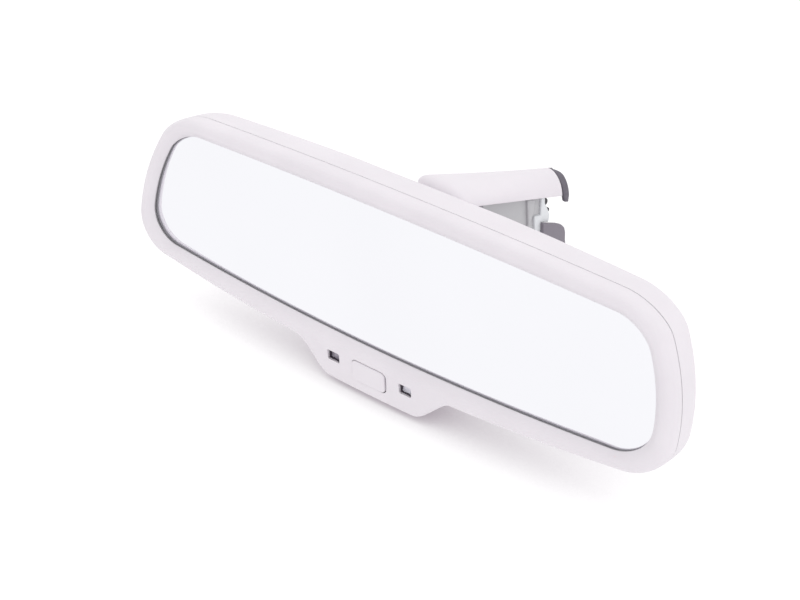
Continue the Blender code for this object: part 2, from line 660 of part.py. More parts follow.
def make_stem_body(stem):
    """An inverted channel under the cover, with a boss for the stud and outside ribs."""
    outline = [(15.3, -8.0), (15.3, 14.0), (20.0, 24.6), (46.2, 24.6), (46.2, -2.0),
               (31.0, -8.0)]
    body = new_part("stem_body", prism_mesh("stem_body", outline, WEB_HALF_WIDTH), stem, "bracket")
    for along in RIBS:
        boolean(body, box_mesh("rib_%d" % along, (-7.4, along, -1.0), (7.4, along + 1.6, 24.0)),
                "UNION")
    boolean(body, box_mesh("channel", (-4.0, 31.5, -12.0), (4.0, 44.5, 22.6)))
    boolean(body, box_mesh("channel_front", (-4.0, 17.5, 8.2), (4.0, 33.0, 22.6)))
    boolean(body, cylinder_mesh("stud_bore", 5.2, 14.0, 29.4, (0, 0), 32))
    boolean(body, cylinder_mesh("cable_bore", 2.0, 29.0, 33.0, (0, 0), 20))


def make_mount(stem):
    bracket_side = [(46.6, 25.0), (53.2, 25.0), (56.0, 18.6), (56.0, 14.0), (51.8, 14.0),
                    (51.8, -7.2), (46.6, -2.0)]
    bracket = new_part("mount_bracket", prism_mesh("mount_bracket", bracket_side, 6.6), stem,
                       "bracket")
    shoe_side = [(52.2, 13.5), (63.0, 12.0), SHOE_OUTER_TOP, SHOE_OUTER_END, (68.0, -19.0),
                 (52.2, -7.0)]
    shoe = new_part("mount_shoe", prism_mesh("mount_shoe", shoe_side, SHOE_HALF_WIDTH), stem, "dark")
    out = Vector(SHOE_OUTER_END) - Vector(SHOE_OUTER_TOP)
    slope = math.atan2(-out.x, -out.y)
    pocket = box_mesh("button_pocket", (-6.2, -5.0, -40.0), (6.2, 5.0, -6.0))
    pocket.transform(Matrix.Translation(Vector((0, SHOE_OUTER_TOP[0], SHOE_OUTER_TOP[1])) * MM)
                     @ Matrix.Rotation(-slope, 4, "X"))
    boolean(shoe, pocket)
    for number, height in ((1, 3.0), (2, -3.0)):
        label = "shoe_screw_%d" % number
        boolean(shoe, cylinder_mesh(label + "_clear", 1.7, 48.0, 72.0, (0, height), 16))
        boolean(bracket, cylinder_mesh(label + "_bore", 1.5, 46.0, 52.0, (0, height), 16))
        head = 64.0 + (3.0 - height) * 0.53
        profile = ((0.0, 47.4), (1.1, 47.4), (1.1, head - 1.6), (1.4, head - 1.6), (1.4, head),
                   (0.0, head))
        new_part(label, turned_mesh(label, profile, 16), stem, "steel", (0, 0, height))
    spring = box_mesh("leaf_spring", (-4.5, -4.6, -24.0), (4.5, -4.1, -12.0))
    spring.transform(Matrix.Translation(Vector((0, SHOE_OUTER_TOP[0], SHOE_OUTER_TOP[1])) * MM)
                     @ Matrix.Rotation(-slope, 4, "X"))
    new_part("leaf_spring", spring, stem, "steel")


def datum_from_ball(turn):
    """The origin's place on the foot's windshield face, seen from the ball's centre."""
    top, end = Vector(SHOE_OUTER_TOP), Vector(SHOE_OUTER_END)
    along, height = top + (end - top).normalized() * DATUM_FROM_TOP
    return Euler([math.radians(a) for a in turn]).to_matrix() @ Vector((0, along, height))


def make_harness(stem):
    new_part("harness_connector", box_mesh("harness_connector", (-3.6, 34.0, 6.0),
                                           (3.6, 44.1, 13.5), 0.6), stem, "dark")
    path = [(0, -5.5, 0), (0, 10.0, 0), (0, 31.5, 0), (0, 36.0, 1.0), (0, 38.4, 3.0),
            (0, 38.8, 5.6)]
    new_part("stem_cable", cable_mesh("stem_cable", path, 1.3), stem, "cable")


clear_scene()
PARTS = new_collection("rearview_mirror")
CUTTERS = new_collection("cutters")
MATERIALS = make_materials()

stem_turn = (-STEM_DROP, 0, -STEM_YAW)
ball_centre = new_empty("ball_centre", location=-datum_from_ball(stem_turn))
stem_frame = new_empty("stem_frame", ball_centre, rotation=stem_turn)
yaw_pivot = new_empty("yaw_pivot", ball_centre)
pitch_pivot = new_empty("pitch_pivot", yaw_pivot)
roll_pivot = new_empty("roll_pivot", pitch_pivot)
head_frame = new_empty("head_frame", roll_pivot, [-c for c in BALL_IN_HEAD])

make_bezel(head_frame)
make_rear_housing(head_frame)
make_glass_stack(head_frame)
make_carrier(head_frame)
make_carrier_screws(head_frame)
make_electronics(head_frame)
make_button(head_frame)
make_ball_joint(yaw_pivot, pitch_pivot, head_frame)
make_ball_stud(stem_frame)
make_stem_body(stem_frame)
make_cover(stem_frame)
make_mount(stem_frame)
make_harness(stem_frame)
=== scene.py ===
"""The looks of the interior rearview mirror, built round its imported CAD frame.

Sizes are millimetres in two frames: the head frame, whose origin is the centre of the
glass opening in the plane of the bezel's lip, and the stem frame, whose origin is the
ball's centre with +Y along the stem. Both are placed from the frame's ball joint.
"""
import json
import math
from collections import namedtuple

import bmesh
import bpy
from mathutils import Matrix, Vector


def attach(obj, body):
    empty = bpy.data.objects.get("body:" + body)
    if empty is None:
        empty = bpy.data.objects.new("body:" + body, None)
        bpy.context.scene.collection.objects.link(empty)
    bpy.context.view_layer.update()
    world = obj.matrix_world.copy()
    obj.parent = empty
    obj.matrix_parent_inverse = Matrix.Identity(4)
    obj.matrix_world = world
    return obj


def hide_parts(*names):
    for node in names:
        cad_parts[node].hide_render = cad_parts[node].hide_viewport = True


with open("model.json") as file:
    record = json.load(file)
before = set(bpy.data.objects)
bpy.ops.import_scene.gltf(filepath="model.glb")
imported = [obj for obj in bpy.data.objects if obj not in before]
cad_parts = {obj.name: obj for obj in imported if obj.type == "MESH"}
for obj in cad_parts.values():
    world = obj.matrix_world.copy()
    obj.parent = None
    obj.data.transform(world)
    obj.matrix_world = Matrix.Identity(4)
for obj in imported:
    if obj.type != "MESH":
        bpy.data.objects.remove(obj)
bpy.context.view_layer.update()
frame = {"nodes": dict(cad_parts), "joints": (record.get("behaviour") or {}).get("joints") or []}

MM = 0.001

# Where the head and the stem sit on the ball.
BALL = Vector(next(j for j in frame["joints"] if j["type"] == "hinge")["pos_m"])
BALL_IN_HEAD = Vector((0.0, 26.0, 4.0))
STEM_YAW = math.radians(14.0)
STEM_DROP = math.radians(6.3)
HEAD = Matrix.Translation(BALL) @ Matrix.Scale(MM, 4) @ Matrix.Translation(-BALL_IN_HEAD)
STEM = (Matrix.Translation(BALL) @ Matrix.Rotation(-STEM_YAW, 4, "Z")
        @ Matrix.Rotation(-STEM_DROP, 4, "X") @ Matrix.Scale(MM, 4))

# Ball joint: ball, liner and cup are concentric spheres, each as (inner, outer) radius.
BALL_RADIUS = 8.0
NECK_RADIUS = 4.6
BORE_RADIUS = 2.5
LINER_RADII = (8.3, 10.0)
CUP_RADII = (10.3, 12.3)
SEAT_RADIUS = 12.6
SHELL_OPENING = 65.0            # half angle of the rear opening of liner and cup, degrees
SHELL_FRONT_HOLE = 4.0

# Outlines of the head: bowed rectangles with soft corners.
Outline = namedtuple("Outline", "half_width top bottom top_sag bottom_sag end_bulge "
                                "top_taper bottom_taper top_corner end_top_corner "
                                "bottom_corner end_bottom_corner")
LIP = Outline(114.2, 27.8, 27.8, 1.5, 5.8, 4.9, 6.5, -4.4, 10.5, 9.2, 12.9, 12.5)
PARTING = Outline(121.9, 35.5, 37.9, 2.0, 10.2, 6.9, 10.5, -3.8, 15.1, 10.2, 13.2, 13.8)
PARTING_DEPTH = 4.8
PARTING_GAP = 0.16
CORNER_TENSION = 0.55
CHIN_FLAT = 20.6
CHIN_WIDE = 38.5
CHIN_DROP = 11.6
WALL = 2.2

# Bezel section: (outline mix, depth, share of the chin drop, depth in the chin)
BEZEL_FACE = (
    (0.00, 0.0, 0.0, 0.0), (0.12, -0.92, 0.0, -0.92), (0.30, -1.92, 0.0, -1.92),
    (0.49, -2.3, 0.04, -2.2), (0.68, -1.95, 0.2, -0.7), (0.83, -0.95, 0.62, 0.95),
    (0.94, 0.7, 0.93, 2.0), (0.99, 2.6, 1.0, 3.1), (1.00, 4.6, 1.0, 4.6))
BEZEL_INSIDE = (
    (0.985, PARTING_DEPTH, 1.0, PARTING_DEPTH), (0.78, PARTING_DEPTH, 0.98, PARTING_DEPTH),
    (0.76, 4.6, 0.98, 4.6), (0.74, 2.6, 0.96, 3.3), (0.60, 0.9, 0.25, 1.2),
    (0.30, 0.45, 0.0, 0.45), (0.015, 0.45, 0.0, 0.45), (0.0, 0.35, 0.0, 0.35))

# Rear housing skin: (inset from the parting outline, depth, share of the chin drop,
# how much shallower it is where it makes room for the stem's cover)
HOUSING_SKIN = (
    (0.0, 5.15, 1.0, 0.0), (0.0, 8.8, 0.985, 0.0), (0.0, 12.6, 0.95, 0.0),
    (0.3, 17.8, 0.8, 0.0), (1.2, 21.8, 0.55, 0.9), (3.4, 24.3, 0.3, 2.3),
    (7.0, 25.7, 0.12, 3.1), (12.0, 26.7, 0.0, 2.0), (17.0, 27.4, 0.0, 0.7),
    (21.5, 27.9, 0.0, 0.0), (27.0, 28.4, 0.0, 0.0), (34.0, 28.8, 0.0, 0.0))
RELIEF_FLAT = 15.0
RELIEF_WIDE = 38.0
SPINE_HALF = 88.0
SPINE_DEPTH = 35.5
END_THINNING = 0.29

# Chin details.
BUTTON_SIZE = (16.0, 9.4)
BUTTON_Z = -39.8
BUTTON_FRONT = -0.6
BUTTON_BACK = 3.6
BUTTON_GAP = (0.12, 0.6, 0.35)  # at its left and bottom, at its right, at its top
FACE_SLOPE = -0.257             # of the chin's face
WINDOW_X = 17.7
WINDOW_Z = -38.4
WINDOW_SIZE = (5.9, 4.4)
SLEEVE_WALL = 0.3
SLEEVE_FRONT = 0.85
SLEEVE_BACK = 2.95
PANE_Y = (2.1, 2.8)
PANE_PLAY = 0.02
GAP = 0.3
REAR_WINDOW = (38.0, 12.0)
REAR_WINDOW_HOLE = 3.9
BALL_OPENING = 14.0

# Stem.
COVER_NOSE = -2.2
COVER_END = 60.2
COVER_BOTTOM = 25.7
COVER_WALL = 1.8
COVER_HALF_WIDTH = (15.2, 7.3)
COVER_RISE = (5.2, 8.9)
COVER_NOSE_LENGTH = 5.2
COVER_LEAN = 0.33               # how far the end leans back per millimetre of height
LEAN_START = 38.0
SEAL_DROP = 2.8                 # how far the seal's tips hang below the cover
SEAL_WALL = 1.7
SEAL_TIP = (1.6, 1.1)           # at a tip: how much further out, and how much shallower
SEAL_DEPTH = 3.2
SEAL_SET_BACK = 0.7
WEB_HALF_WIDTH = 6.0
GUSSET_HALF_WIDTH = 7.2
CHEEK_HALF_WIDTH = 6.6
CORE_HALF_WIDTH = 5.6
SHOE_HALF_WIDTH = 8.5
SHOE_SCREWS = (3.0, -3.0)       # their heights
SHOE_FACE = ((66.2, 10.0), (81.6, -19.0))   # the windshield face's ends: (along, height)

# The floor that the chin and the foot rest on, as it lies in the head frame.
FLOOR_POINT = Vector((0.0, 12.6, -49.7))
FLOOR_LEAN = math.radians(15.3)

# Studio lights in the head frame: (name, place, size, power in watts).
LIGHTS = (("key", (-300, 300, 900), 1000, 1.2), ("side", (900, -50, 250), 900, 0.25))
LIGHT_TARGET = Vector((0, 20, 0))

# What the mirror reflects: an evenly lit studio.
EVEN_LIGHT = (1.0, 1.0, 1.0)
WORLD_STRENGTH = (0.86, 1.16)   # for diffuse rays, from the dim side to the bright side
WORLD_BRIGHT_SIDE = (0.75, -0.15, 0.64)
# Painted shadow on the floor: within this reach of the object, ambient occlusion darkens the floor's
# glow from white towards the dark colour.
FLOOR_PAINTED_SHADOW_REACH = 55.0
FLOOR_PAINTED_SHADOW = ((0.28, 0.25, 0.275), (0.82, 0.82, 0.82))

# The shells' pearl grey.
PEARL_LOW = (0.73, 0.693, 0.733)
PEARL_HIGH = (0.76, 0.723, 0.763)

# Layers behind the lip: (front, back), and how far their outline reaches from the lip (0)
# towards the parting line (1).
GASKET_Y = (0.5, 1.0)
FRONT_GLASS_Y = (1.05, 3.35)
GEL_Y = (3.4, 4.3)
REAR_GLASS_Y = (4.35, 6.15)
GLASS_REACH = 0.2
GEL_REACH = 0.05

# Camera in the head frame.
CAMERA_PLACE = Vector((311.42, -441.56, 245.30))
CAMERA_RIGHT = Vector((0.78392647, 0.60766951, 0.12726762))
CAMERA_UP = Vector((-0.3514591, 0.26536865, 0.8978062))
CAMERA_LENS = 71.42


# Materials ------------------------------------------------------------------------------
class Nodes:
    """A short way to wire a material's node tree."""

    def __init__(self, name):
        self.material = bpy.data.materials.new(name)
        self.material.use_nodes = True
        self.tree = self.material.node_tree
        self.shader = self.tree.nodes["Principled BSDF"]
        self.coords = self.tree.nodes.new("ShaderNodeTexCoord")

    def add(self, kind, **settings):
        node = self.tree.nodes.new(kind)
        for key, value in settings.items():
            setattr(node, key, value)
        return node

    def link(self, source, target):
        self.tree.links.new(source, target)

    def noise(self, scale, detail=4.0, roughness=0.55):
        node = self.add("ShaderNodeTexNoise")
        node.inputs["Scale"].default_value = scale
        node.inputs["Detail"].default_value = detail
        node.inputs["Roughness"].default_value = roughness
        self.link(self.coords.outputs["Object"], node.inputs["Vector"])
        return node.outputs["Fac"]

    def cells(self, scale, feature="F1"):
        node = self.add("ShaderNodeTexVoronoi", feature=feature)
        node.inputs["Scale"].default_value = scale
        self.link(self.coords.outputs["Object"], node.inputs["Vector"])
        return node.outputs["Distance"]

    def ramp(self, source, low, high, start=0.3, end=0.7):
        """Maps a value to a colour between low and high."""
        node = self.add("ShaderNodeValToRGB")
        node.color_ramp.elements[0].position = start
        node.color_ramp.elements[1].position = end
        node.color_ramp.elements[0].color = (*low, 1.0)
        node.color_ramp.elements[1].color = (*high, 1.0)
        self.link(source, node.inputs["Fac"])
        return node.outputs["Color"]

    def range(self, source, low, high):
        node = self.add("ShaderNodeMapRange")
        node.inputs["To Min"].default_value = low
        node.inputs["To Max"].default_value = high
        self.link(source, node.inputs["Value"])
        return node.outputs["Result"]

    def bump(self, source, strength, distance, before=None):
        node = self.add("ShaderNodeBump")
        node.inputs["Strength"].default_value = strength
        node.inputs["Distance"].default_value = distance
        self.link(source, node.inputs["Height"])
        if before:
            self.link(before, node.inputs["Normal"])
        return node.outputs["Normal"]

    def soft_edges(self, radius):
        node = self.add("ShaderNodeBevel", samples=4)
        node.inputs["Radius"].default_value = radius
        return node.outputs["Normal"]

    def put(self, source, name):
        self.link(source, self.shader.inputs[name])

    def set(self, name, value):
        self.shader.inputs[name].default_value = value


def moulded_plastic(name, low, high, roughness, grain=0.12, grain_size=0.00045, soft=0.0002):
    """Moulded plastic: a spark-eroded grain, faint colour drift and uneven sheen."""
    n = Nodes(name)
    n.put(n.ramp(n.noise(45.0, 3.0), low, high), "Base Color")
    n.put(n.range(n.noise(300.0, 5.0), roughness - 0.05, roughness + 0.06), "Roughness")
    edges = n.soft_edges(soft)
    coarse = n.bump(n.cells(1 / grain_size, "SMOOTH_F1"), grain, 0.00004, edges)
    n.put(n.bump(n.noise(0.7 / grain_size, 3.0), grain, 0.00003, coarse), "Normal")
    n.set("Specular IOR Level", 0.45)
    return n


def make_shell_material():
    n = moulded_plastic("pearl_grey_plastic", PEARL_LOW, PEARL_HIGH, 0.42, soft=0.00035)
    n.set("Subsurface Weight", 0.06)
    n.set("Subsurface Radius", (0.002, 0.0016, 0.0018))
    n.set("Subsurface Scale", 1.0)
    n.set("Coat Weight", 0.04)
    n.set("Coat Roughness", 0.3)
    return n.material


def make_rubber_material(name, low, high, roughness=0.62):
    n = Nodes(name)
    n.put(n.ramp(n.noise(600.0, 4.0), low, high), "Base Color")
    n.put(n.range(n.noise(900.0), roughness - 0.08, roughness + 0.1), "Roughness")
    n.put(n.bump(n.noise(3500.0, 4.0), 0.2, 0.00004, n.soft_edges(0.00025)), "Normal")
    n.set("Sheen Weight", 0.15)
    n.set("Sheen Roughness", 0.4)
    return n.material


def make_metal_material(name, low, high, roughness, bump=0.1, stretch=(1, 1, 1)):
    n = Nodes(name)
    mapping = n.add("ShaderNodeMapping")
    mapping.inputs["Scale"].default_value = stretch
    n.link(n.coords.outputs["Object"], mapping.inputs["Vector"])
    grain = n.add("ShaderNodeTexNoise")
    grain.inputs["Scale"].default_value = 2500.0
    grain.inputs["Detail"].default_value = 5.0
    n.link(mapping.outputs["Vector"], grain.inputs["Vector"])
    n.put(n.ramp(n.noise(400.0), low, high), "Base Color")
    n.put(n.range(grain.outputs["Fac"], roughness - 0.08, roughness + 0.12), "Roughness")
    n.put(n.bump(grain.outputs["Fac"], bump, 0.00003, n.soft_edges(0.00015)), "Normal")
    n.set("Metallic", 1.0)
    return n.material


def make_mirror_material(name, low, high):
    """Silvered glass: a near perfect mirror with a trace of haze under a clear face."""
    n = Nodes(name)
    n.put(n.ramp(n.noise(12.0, 2.0), low, high), "Base Color")
    n.put(n.range(n.noise(30.0, 3.0), 0.015, 0.03), "Roughness")
    n.set("Metallic", 1.0)
    n.set("Coat Weight", 0.5)
    n.set("Coat Roughness", 0.0)
    n.set("Coat IOR", 1.5)
    return n.material


def make_clear_material(name, tint, roughness, haze_scale=200.0):
    """Glass or clear plastic that light passes straight through, with a glossy face."""
    n = Nodes(name)
    n.put(n.range(n.noise(haze_scale, 2.0), roughness, roughness + 0.03), "Roughness")
    n.set("Base Color", (*tint, 1.0))
    n.set("Transmission Weight", 0.0)
    clear = n.add("ShaderNodeBsdfTransparent")
    clear.inputs["Color"].default_value = (*tint, 1.0)
    gloss = n.add("ShaderNodeBsdfGlossy")
    gloss.inputs["Color"].default_value = (1, 1, 1, 1)
    n.link(n.range(n.noise(haze_scale, 2.0), roughness, roughness + 0.02),
           gloss.inputs["Roughness"])
    fresnel = n.add("ShaderNodeFresnel")
    fresnel.inputs["IOR"].default_value = 1.5
    mix = n.add("ShaderNodeMixShader")
    n.link(fresnel.outputs["Fac"], mix.inputs["Fac"])
    n.link(clear.outputs["BSDF"], mix.inputs[1])
    n.link(gloss.outputs["BSDF"], mix.inputs[2])
    out = n.tree.nodes["Material Output"]
    n.link(mix.outputs["Shader"], out.inputs["Surface"])
    return n.material


def make_milky_material(name, low, high):
    """A diffusing window in the chin."""
    n = moulded_plastic(name, low, high, 0.2, 0.02)
    n.set("Subsurface Weight", 0.3)
    n.set("Subsurface Radius", (0.001, 0.001, 0.001))
    n.set("Subsurface Scale", 1.0)
    n.set("Coat Weight", 0.6)
    n.set("Coat Roughness", 0.05)
    return n.material


def make_board_material():
    """Solder mask with a pattern of copper tracks showing through."""
    n = Nodes("circuit_board")
    tracks = n.add("ShaderNodeTexBrick")
    tracks.inputs["Scale"].default_value = 420.0
    tracks.inputs["Color1"].default_value = (0.01, 0.10, 0.035, 1)
    tracks.inputs["Color2"].default_value = (0.012, 0.13, 0.045, 1)
    tracks.inputs["Mortar"].default_value = (0.06, 0.24, 0.09, 1)
    n.link(n.coords.outputs["Object"], tracks.inputs["Vector"])
    n.put(tracks.outputs["Color"], "Base Color")
    n.put(n.range(n.noise(800.0), 0.28, 0.45), "Roughness")
    return n.material


MATERIALS = {
    "shell": make_shell_material(),
    "button": moulded_plastic("button_plastic", PEARL_LOW, PEARL_HIGH, 0.38).material,
    "bracket": moulded_plastic("pale_bracket_plastic", (0.70, 0.72, 0.74), (0.74, 0.76, 0.78),
                               0.45, 0.08).material,
    # Painted shade: the web and the bracket's core are light grey like the cover, painted mid grey
    # for the shade they sit in under the cover.
    "web": moulded_plastic("web_plastic_painted_shade", (0.47, 0.47, 0.485), (0.50, 0.50, 0.515),
                           0.45, 0.08).material,
    "dark": moulded_plastic("dark_plastic", (0.03, 0.028, 0.033), (0.045, 0.042, 0.048),
                            0.45).material,
    "shoe": moulded_plastic("shoe_plastic", (0.20, 0.18, 0.215), (0.225, 0.205, 0.24),
                            0.5).material,
    "sleeve": moulded_plastic("window_sleeve", (0.055, 0.043, 0.06), (0.07, 0.055, 0.075),
                              0.5).material,
    "rubber": make_rubber_material("dark_rubber", (0.115, 0.103, 0.13), (0.14, 0.127, 0.155)),
    "gasket": make_rubber_material("gasket_rubber", (0.26, 0.25, 0.265), (0.30, 0.29, 0.305)),
    "foam": make_rubber_material("foam_pad", (0.02, 0.02, 0.022), (0.04, 0.04, 0.042), 0.85),
    "cable": make_rubber_material("cable_sleeve", (0.012, 0.012, 0.013), (0.022, 0.022, 0.024)),
    "mirror": make_mirror_material("mirror_coat", (0.90, 0.90, 0.92), (0.92, 0.92, 0.94)),
    "glass": make_mirror_material("silvered_front", (0.93, 0.93, 0.965), (0.945, 0.945, 0.98)),
    "gel": make_clear_material("dimming_gel", (0.97, 0.98, 0.975), 0.05),
    "clear": make_clear_material("clear_lens", (0.9, 0.9, 0.94), 0.03),
    "milky": make_milky_material("milky_window", (0.80, 0.78, 0.87), (0.84, 0.82, 0.91)),
    "smoky": make_milky_material("smoky_window", (0.34, 0.31, 0.37), (0.38, 0.35, 0.41)),
    "metal": make_metal_material("cast_zinc", (0.42, 0.42, 0.44), (0.52, 0.52, 0.54), 0.38, 0.25),
    "steel": make_metal_material("bright_steel", (0.58, 0.58, 0.6), (0.66, 0.66, 0.68), 0.22,
                                 0.08, (1, 12, 1)),
    "copper": make_metal_material("contact_strip", (0.62, 0.40, 0.22), (0.7, 0.47, 0.27), 0.3),
    "acetal": moulded_plastic("natural_acetal", (0.74, 0.73, 0.67), (0.79, 0.78, 0.72),
                              0.4, 0.05).material,
    "board": make_board_material(),
}


# Mesh helpers ---------------------------------------------------------------------------
def finish_mesh(bm, name, matrix, sharp=35.0):
    """Places a bmesh made in millimetres in the row frame and shades it."""
    bmesh.ops.transform(bm, matrix=matrix, verts=bm.verts)
    bmesh.ops.recalc_face_normals(bm, faces=bm.faces)
    mesh = bpy.data.meshes.new(name)
    bm.to_mesh(mesh)
    bm.free()
    mesh.shade_smooth()
    mesh.set_sharp_from_angle(angle=math.radians(sharp))
    return mesh


def add_piece(name, mesh, body, mat, replaces=()):
    """Puts a mesh in the scene on a body, and hides the CAD nodes it stands for."""
    obj = bpy.data.objects.new(name, mesh)
    bpy.context.scene.collection.objects.link(obj)
    mesh.materials.clear()
    mesh.materials.append(MATERIALS[mat])
    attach(obj, body)
    if replaces:
        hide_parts(*replaces)
    return obj


def solid_of(mesh):
    obj = bpy.data.objects.new("work", mesh)
    bpy.context.scene.collection.objects.link(obj)
    return obj


def baked(obj, name):
    """The object's mesh with its modifiers applied; the object is removed."""
    graph = bpy.context.evaluated_depsgraph_get()
    mesh = bpy.data.meshes.new_from_object(obj.evaluated_get(graph))
    mesh.name = name
    bpy.data.objects.remove(obj, do_unlink=True)
    return mesh


def carve(mesh, tools, name, operation="DIFFERENCE"):
    """Cuts (or joins) a list of tool meshes, one after the other."""
    obj = solid_of(mesh)
    workers = []
    for tool in tools:
        worker = solid_of(tool)
        workers.append(worker)
        modifier = obj.modifiers.new("carve", "BOOLEAN")
        modifier.operation = operation
        modifier.solver = "MANIFOLD"
        modifier.object = worker
    result = baked(obj, name)
    for worker in workers:
        bpy.data.objects.remove(worker, do_unlink=True)
    return result


def reshade(mesh, angle):
    mesh.shade_smooth()
    mesh.set_sharp_from_angle(angle=math.radians(angle))
    return mesh


def bevelled(mesh, width, segments=3, angle=30.0):
    obj = solid_of(mesh)
    bevel = obj.modifiers.new("bevel", "BEVEL")
    bevel.width = width * MM
    bevel.segments = segments
    bevel.limit_method = "ANGLE"
    bevel.angle_limit = math.radians(angle)
    return reshade(baked(obj, mesh.name), 35.0)


def box(low, high, matrix, round_edges=0.0, segments=5):
    """A block between two corners, with the edges along the depth rounded."""
    bm = bmesh.new()
    bmesh.ops.create_cube(bm, size=1.0)
    low, high = Vector(low), Vector(high)
    for vert in bm.verts:
        for i in range(3):
            vert.co[i] = low[i] + (vert.co[i] + 0.5) * (high[i] - low[i])
    if round_edges:
        edges = [e for e in bm.edges
                 if abs((e.verts[0].co - e.verts[1].co).normalized().y) > 0.9]
        bmesh.ops.bevel(bm, geom=edges, offset=round_edges, segments=segments, profile=0.5,
                        affect="EDGES")
    return finish_mesh(bm, "box", matrix)


def turned(profile, matrix, steps=96, sharp=35.0):
    """Turns a closed profile of (radius, depth) round the local Y axis."""
    bm = bmesh.new()
    rings = []
    for radius, depth in profile:
        if radius < 1e-6:
            rings.append([bm.verts.new((0, depth, 0))])
        else:
            rings.append([bm.verts.new((radius * math.cos(2 * math.pi * i / steps), depth,
                                        radius * math.sin(2 * math.pi * i / steps)))
                          for i in range(steps)])
    for a, b in zip(rings, rings[1:] + rings[:1]):
        if len(a) == 1 and len(b) == 1:
            continue
        for i in range(steps):
            j = (i + 1) % steps
            if len(a) == 1:
                bm.faces.new((a[0], b[j], b[i]))
            elif len(b) == 1:
                bm.faces.new((a[i], a[j], b[0]))
            else:
                bm.faces.new((a[i], a[j], b[j], b[i]))
    return finish_mesh(bm, "turned", matrix, sharp)


def rod(radius, start, end, centre, matrix, steps=48):
    move = matrix @ Matrix.Translation((centre[0], 0, centre[1]))
    return turned(((0, start), (radius, start), (radius, end), (0, end)), move, steps)


def prism(profile, half_width, matrix):
    """Extrudes a (along, height) outline across the stem."""
    bm = bmesh.new()
    face = bm.faces.new([bm.verts.new((-half_width, a, h)) for a, h in profile])
    moved = bmesh.ops.extrude_face_region(bm, geom=[face])["geom"]
    bmesh.ops.translate(bm, vec=(2 * half_width, 0, 0),
                        verts=[v for v in moved if isinstance(v, bmesh.types.BMVert)])
    return finish_mesh(bm, "prism", matrix)


def smooth_path(points, detail):
    """A smooth curve through the points, which are Vectors of any length."""
    out = []
    for i in range(len(points) - 1):
        p0 = points[max(i - 1, 0)]
        p1, p2 = points[i], points[i + 1]
        p3 = points[min(i + 2, len(points) - 1)]
        for k in range(detail):
            t = k / detail
            out.append(0.5 * (2 * p1 + (p2 - p0) * t + (2 * p0 - 5 * p1 + 4 * p2 - p3) * t * t
                              + (3 * p1 - p0 - 3 * p2 + p3) * t ** 3))
    out.append(points[-1])
    return out


def rounded(half_x, half_z, radius, count=6):
    """A rectangle with round corners, as (x, z) points round its centre."""
    points = []
    for i, (sx, sz) in enumerate(((1, 1), (-1, 1), (-1, -1), (1, -1))):
        for k in range(count + 1):
            angle = math.radians(90 * (i + k / count))
            points.append((sx * (half_x - radius) + radius * math.cos(angle),
                           sz * (half_z - radius) + radius * math.sin(angle)))
    return points


# Head outlines --------------------------------------------------------------------------
def mixed(amount):
    """The outline between the lip (0) and the parting line (1)."""
    return Outline(*(a + (b - a) * amount for a, b in zip(LIP, PARTING)))


def soft_corner(start, start_dir, end, end_dir, count):
    """Points of a soft corner, where two lines that would meet are joined by a curve."""
    cross = start_dir.x * end_dir.y - start_dir.y * end_dir.x
    gap = end - start
    reach = (gap.x * end_dir.y - gap.y * end_dir.x) / cross
    meeting = start + start_dir * reach
    a = start + (meeting - start) * CORNER_TENSION
    b = end + (meeting - end) * CORNER_TENSION
    points = []
    for i in range(1, count):
        t = i / count
        s = 1 - t
        points.append(start * s ** 3 + a * 3 * s * s * t + b * 3 * s * t * t + end * t ** 3)
    return points


def half_outline(o):
    """The right half of an outline as (x, z), from the top centre to the bottom centre."""
    top_corner = Vector((o.half_width - o.top_taper, o.top - o.top_sag))
    low_corner = Vector((o.half_width - o.bottom_taper, -o.bottom + o.bottom_sag))
    bulge = (top_corner + low_corner) / 2 + Vector((2 * o.end_bulge, 0))
    length = top_corner.y - low_corner.y

    def top_at(x):
        return Vector((x, o.top - o.top_sag * (x / top_corner.x) ** 2))

    def bottom_at(x):
        return Vector((x, -o.bottom + o.bottom_sag * (x / low_corner.x) ** 2))

    def end_at(v):
        return low_corner * (1 - v) ** 2 + bulge * 2 * v * (1 - v) + top_corner * v * v

    def end_dir(v):
        return ((bulge - low_corner) * (1 - v) + (top_corner - bulge) * v).normalized()

    top_stop = top_corner.x - o.top_corner
    bottom_stop = low_corner.x - o.bottom_corner
    v_top = 1 - o.end_top_corner / length
    v_low = o.end_bottom_corner / length
    points = [top_at(top_stop * i / 40) for i in range(41)]
    slope = Vector((1, -2 * o.top_sag * top_stop / top_corner.x ** 2))
    points += soft_corner(points[-1], slope, end_at(v_top), end_dir(v_top), 20)
    points += [end_at(v_top + (v_low - v_top) * i / 18) for i in range(19)]
    slope = Vector((1, 2 * o.bottom_sag * bottom_stop / low_corner.x ** 2))
    points += soft_corner(points[-1], end_dir(v_low), bottom_at(bottom_stop), slope, 20)
    wide = CHIN_WIDE + 4
    points += [bottom_at(bottom_stop + (wide - bottom_stop) * i / 28) for i in range(28)]
    points += [bottom_at(wide * (1 - i / 48)) for i in range(49)]
    return points


def full_outline(o):
    right = half_outline(o)
    return right + [Vector((-p.x, p.y)) for p in reversed(right[1:-1])]


def fade(x, flat, wide):
    """1 within flat of the middle, falling smoothly to 0 at wide."""
    t = min(max((wide - abs(x)) / (wide - flat), 0.0), 1.0)
    return t * t * (3 - 2 * t)


def chin_at(point):
    """How much of the chin there is at a point of an outline: 0 to 1."""
    return fade(point.x, CHIN_FLAT, CHIN_WIDE) if point.y < 0 else 0.0


def skin(rings, matrix, name, closed_section, sharp=35.0):
    bm = bmesh.new()
    loops = [[bm.verts.new(p) for p in ring] for ring in rings]
    pairs = list(zip(loops, loops[1:]))
    if closed_section:
        pairs.append((loops[-1], loops[0]))
    for a, b in pairs:
        for i in range(len(a)):
            j = (i + 1) % len(a)
            bm.faces.new((a[i], a[j], b[j], b[i]))
    if not closed_section:
        bm.faces.new(loops[0])
        bm.faces.new(reversed(loops[-1]))
    return finish_mesh(bm, name, matrix, sharp)


